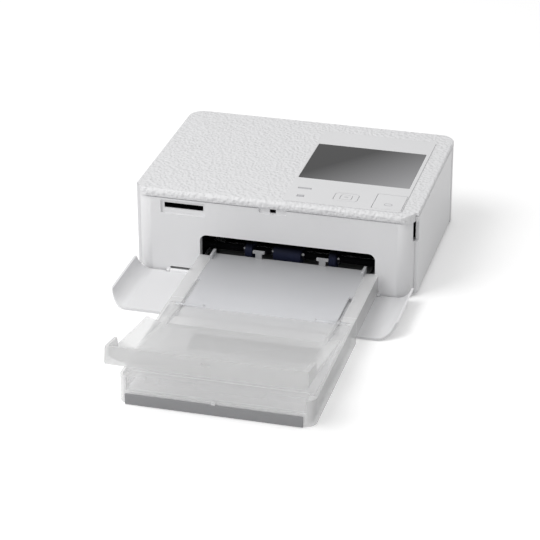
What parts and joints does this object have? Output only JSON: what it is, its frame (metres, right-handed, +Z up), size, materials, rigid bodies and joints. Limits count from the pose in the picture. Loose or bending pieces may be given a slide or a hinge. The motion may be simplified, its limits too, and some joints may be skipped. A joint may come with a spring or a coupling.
{
  "type": "compact photo printer",
  "caption": "White compact photo printer with its front flap down, a frosted paper cassette pushed in, a dark display and flat keys on the textured top.",
  "frame": {"origin": "centre of the closed printer's footprint at table level, on the underside of the label pad", "axes": "+X to the right seen from the front, -Y out of the front where the cassette goes in, +Z up"},
  "size_m": [0.1822, 0.3065, 0.0576],
  "materials": {
    "case_white": "fine texture on the top, satin elsewhere",
    "panel_white": "semi-gloss",
    "glass_dark": "gloss",
    "frosted": "translucent, frosted",
    "bar_grey": "satin",
    "steel": "brushed",
    "roller_rubber": "matte",
    "black_plastic": "matte",
    "gear_white": "satin",
    "board_green": "solder mask, satin",
    "key_grey": "satin",
    "foot_rubber": "matte",
    "ceramic": "glazed ceramic",
    "ink_grey": "satin"
  },
  "bodies": {
    "printer_body": {"bottom_chassis": "case_white", "outer_shell": "case_white", "front_panel": "case_white", "top_cover": "case_white", "control_panel": "panel_white", "lcd_window": "glass_dark", "lcd_module": "black_plastic", "main_board": "board_green", "tact_switches": "steel", "card_reader": "steel", "dc_inlet": "black_plastic", "usb_port": "steel", "rubber_feet": "foot_rubber", "case_screws": "steel", "left_frame": "steel", "right_frame": "steel", "gear_plate": "steel", "idler_posts": "steel", "feed_motor": "steel", "ribbon_motor": "steel", "lever_screws": "steel", "door_pins": "steel"},
    "capstan": {"capstan_roller": "steel", "capstan_gear": "gear_white"},
    "idler_a": {"idler_gear_a": "gear_white"},
    "idler_b": {"idler_gear_b": "gear_white"},
    "pickup": {"pickup_shaft": "steel", "pickup_rollers": "roller_rubber", "pickup_clips": "gear_white", "pickup_gear": "gear_white"},
    "feed_drive": {"feed_pinion": "gear_white"},
    "pinch": {"pinch_roller": "roller_rubber"},
    "platen": {"platen_roller": "roller_rubber"},
    "ribbon_wheel": {"ribbon_gear": "gear_white"},
    "ribbon_drive": {"ribbon_pinion": "gear_white"},
    "print_head": {"thermal_head": "ceramic", "heat_sink": "steel"},
    "ink_cartridge": {"cartridge_shell": "ink_grey", "ribbon_film": "ink_grey"},
    "supply": {"supply_spool": "ink_grey"},
    "takeup": {"takeup_spool": "ink_grey"},
    "eject": {"eject_lever": "key_grey"},
    "side_door": {"ink_door": "case_white"},
    "flap": {"front_flap": "case_white", "flap_pins": "steel"},
    "print_key_body": {"print_key": "panel_white"},
    "ok_key_body": {"ok_key": "panel_white"},
    "dpad_key_body": {"dpad_key": "panel_white"},
    "power_key_body": {"power_key": "key_grey"},
    "menu_key_body": {"menu_key": "key_grey"},
    "cassette": {"tray_base": "frosted", "tray_rear": "frosted", "tray_nose": "frosted", "tray_deck": "frosted", "front_bar": "bar_grey", "stop_block": "frosted", "lid_pins": "steel"},
    "lift": {"lift_plate": "frosted"},
    "inner_cover": {"inner_lid": "frosted"},
    "outer_cover": {"outer_lid": "frosted"}
  },
  "joints": [
    {"name": "capstan_spin", "type": "hinge", "parent": "printer_body", "child": "capstan", "pos_m": [0, 0.022, 0.0275], "axis": [1, 0, 0], "continuous": true},
    {"name": "idler_a_spin", "type": "hinge", "parent": "printer_body", "child": "idler_a", "pos_m": [-0.057, -0.00272, 0.02084], "axis": [1, 0, 0], "continuous": true},
    {"name": "idler_b_spin", "type": "hinge", "parent": "printer_body", "child": "idler_b", "pos_m": [-0.057, -0.03075, 0.02745], "axis": [1, 0, 0], "continuous": true},
    {"name": "pickup_spin", "type": "hinge", "parent": "printer_body", "child": "pickup", "pos_m": [0, -0.05, 0.016], "axis": [1, 0, 0], "continuous": true},
    {"name": "feed_pinion_spin", "type": "hinge", "parent": "printer_body", "child": "feed_drive", "pos_m": [-0.057, -0.00272, 0.04244], "axis": [1, 0, 0], "continuous": true},
    {"name": "pinch_spin", "type": "hinge", "parent": "printer_body", "child": "pinch", "pos_m": [0, 0.022, 0.0338], "axis": [1, 0, 0], "continuous": true},
    {"name": "platen_spin", "type": "hinge", "parent": "printer_body", "child": "platen", "pos_m": [0, 0.008, 0.024], "axis": [1, 0, 0], "continuous": true},
    {"name": "ribbon_gear_spin", "type": "hinge", "parent": "printer_body", "child": "ribbon_wheel", "pos_m": [-0.052, 0.037, 0.038], "axis": [1, 0, 0], "continuous": true},
    {"name": "ribbon_pinion_spin", "type": "hinge", "parent": "printer_body", "child": "ribbon_drive", "pos_m": [-0.052, 0.04302, 0.02146], "axis": [1, 0, 0], "continuous": true},
    {"name": "head_lift", "type": "slide", "parent": "printer_body", "child": "print_head", "axis": [0, 0, 1], "range_m": [0, 0.002]},
    {"name": "cartridge_slide", "type": "slide", "parent": "printer_body", "child": "ink_cartridge", "axis": [1, 0, 0], "range_m": [0, 0.005]},
    {"name": "supply_spin", "type": "hinge", "parent": "ink_cartridge", "child": "supply", "pos_m": [0.008, -0.018, 0.038], "axis": [1, 0, 0], "continuous": true},
    {"name": "takeup_spin", "type": "hinge", "parent": "ink_cartridge", "child": "takeup", "pos_m": [0.008, 0.037, 0.038], "axis": [1, 0, 0], "continuous": true},
    {"name": "eject_lever_slide", "type": "slide", "parent": "printer_body", "child": "eject", "axis": [0, 0, 1], "range_m": [0, 0.005]},
    {"name": "ink_door_hinge", "type": "hinge", "parent": "printer_body", "child": "side_door", "pos_m": [0.0892, 0.0495, 0.028], "axis": [0, 0, 1], "range_deg": [0, 95]},
    {"name": "front_flap_hinge", "type": "hinge", "parent": "printer_body", "child": "flap", "pos_m": [0, -0.065, 0.0019], "axis": [-1, 0, 0], "range_deg": [-4, 1]},
    {"name": "print_key_press", "type": "slide", "parent": "printer_body", "child": "print_key_body", "axis": [0, 0, -1], "range_m": [0, 0.0006], "stiffness_N_per_m": 300, "springref_m": -0.0005},
    {"name": "ok_key_press", "type": "slide", "parent": "printer_body", "child": "ok_key_body", "axis": [0, 0, -1], "range_m": [0, 0.0006], "stiffness_N_per_m": 300, "springref_m": -0.0005},
    {"name": "dpad_key_press", "type": "slide", "parent": "printer_body", "child": "dpad_key_body", "axis": [0, 0, -1], "range_m": [0, 0.0006], "stiffness_N_per_m": 300, "springref_m": -0.0005},
    {"name": "power_key_press", "type": "slide", "parent": "printer_body", "child": "power_key_body", "axis": [0, 0, -1], "range_m": [0, 0.0006], "stiffness_N_per_m": 300, "springref_m": -0.0005},
    {"name": "menu_key_press", "type": "slide", "parent": "printer_body", "child": "menu_key_body", "axis": [0, 0, -1], "range_m": [0, 0.0006], "stiffness_N_per_m": 300, "springref_m": -0.0005},
    {"name": "cassette_slide", "type": "slide", "parent": "printer_body", "child": "cassette", "axis": [0, -1, 0], "range_m": [0, 0.17]},
    {"name": "lift_plate_hinge", "type": "hinge", "parent": "cassette", "child": "lift", "pos_m": [0.0089, -0.105, 0.0071], "axis": [1, 0, 0], "range_deg": [0, 1.8]},
    {"name": "inner_lid_hinge", "type": "hinge", "parent": "cassette", "child": "inner_cover", "pos_m": [0.01075, -0.1338, 0.016], "axis": [1, 0, 0], "range_deg": [0, 100]},
    {"name": "outer_lid_hinge", "type": "hinge", "parent": "cassette", "child": "outer_cover", "pos_m": [0.01075, -0.1338, 0.016], "axis": [1, 0, 0], "range_deg": [-130, 0]}
  ],
  "couplings": [
    {"joint": "idler_a_spin", "follows": "capstan_spin", "ratio": -0.6},
    {"joint": "idler_b_spin", "follows": "capstan_spin", "ratio": 0.75},
    {"joint": "pickup_spin", "follows": "capstan_spin", "ratio": -1},
    {"joint": "feed_pinion_spin", "follows": "capstan_spin", "ratio": 1.7143},
    {"joint": "ribbon_pinion_spin", "follows": "ribbon_gear_spin", "ratio": -2.1429},
    {"joint": "takeup_spin", "follows": "ribbon_gear_spin", "ratio": 1}
  ]
}
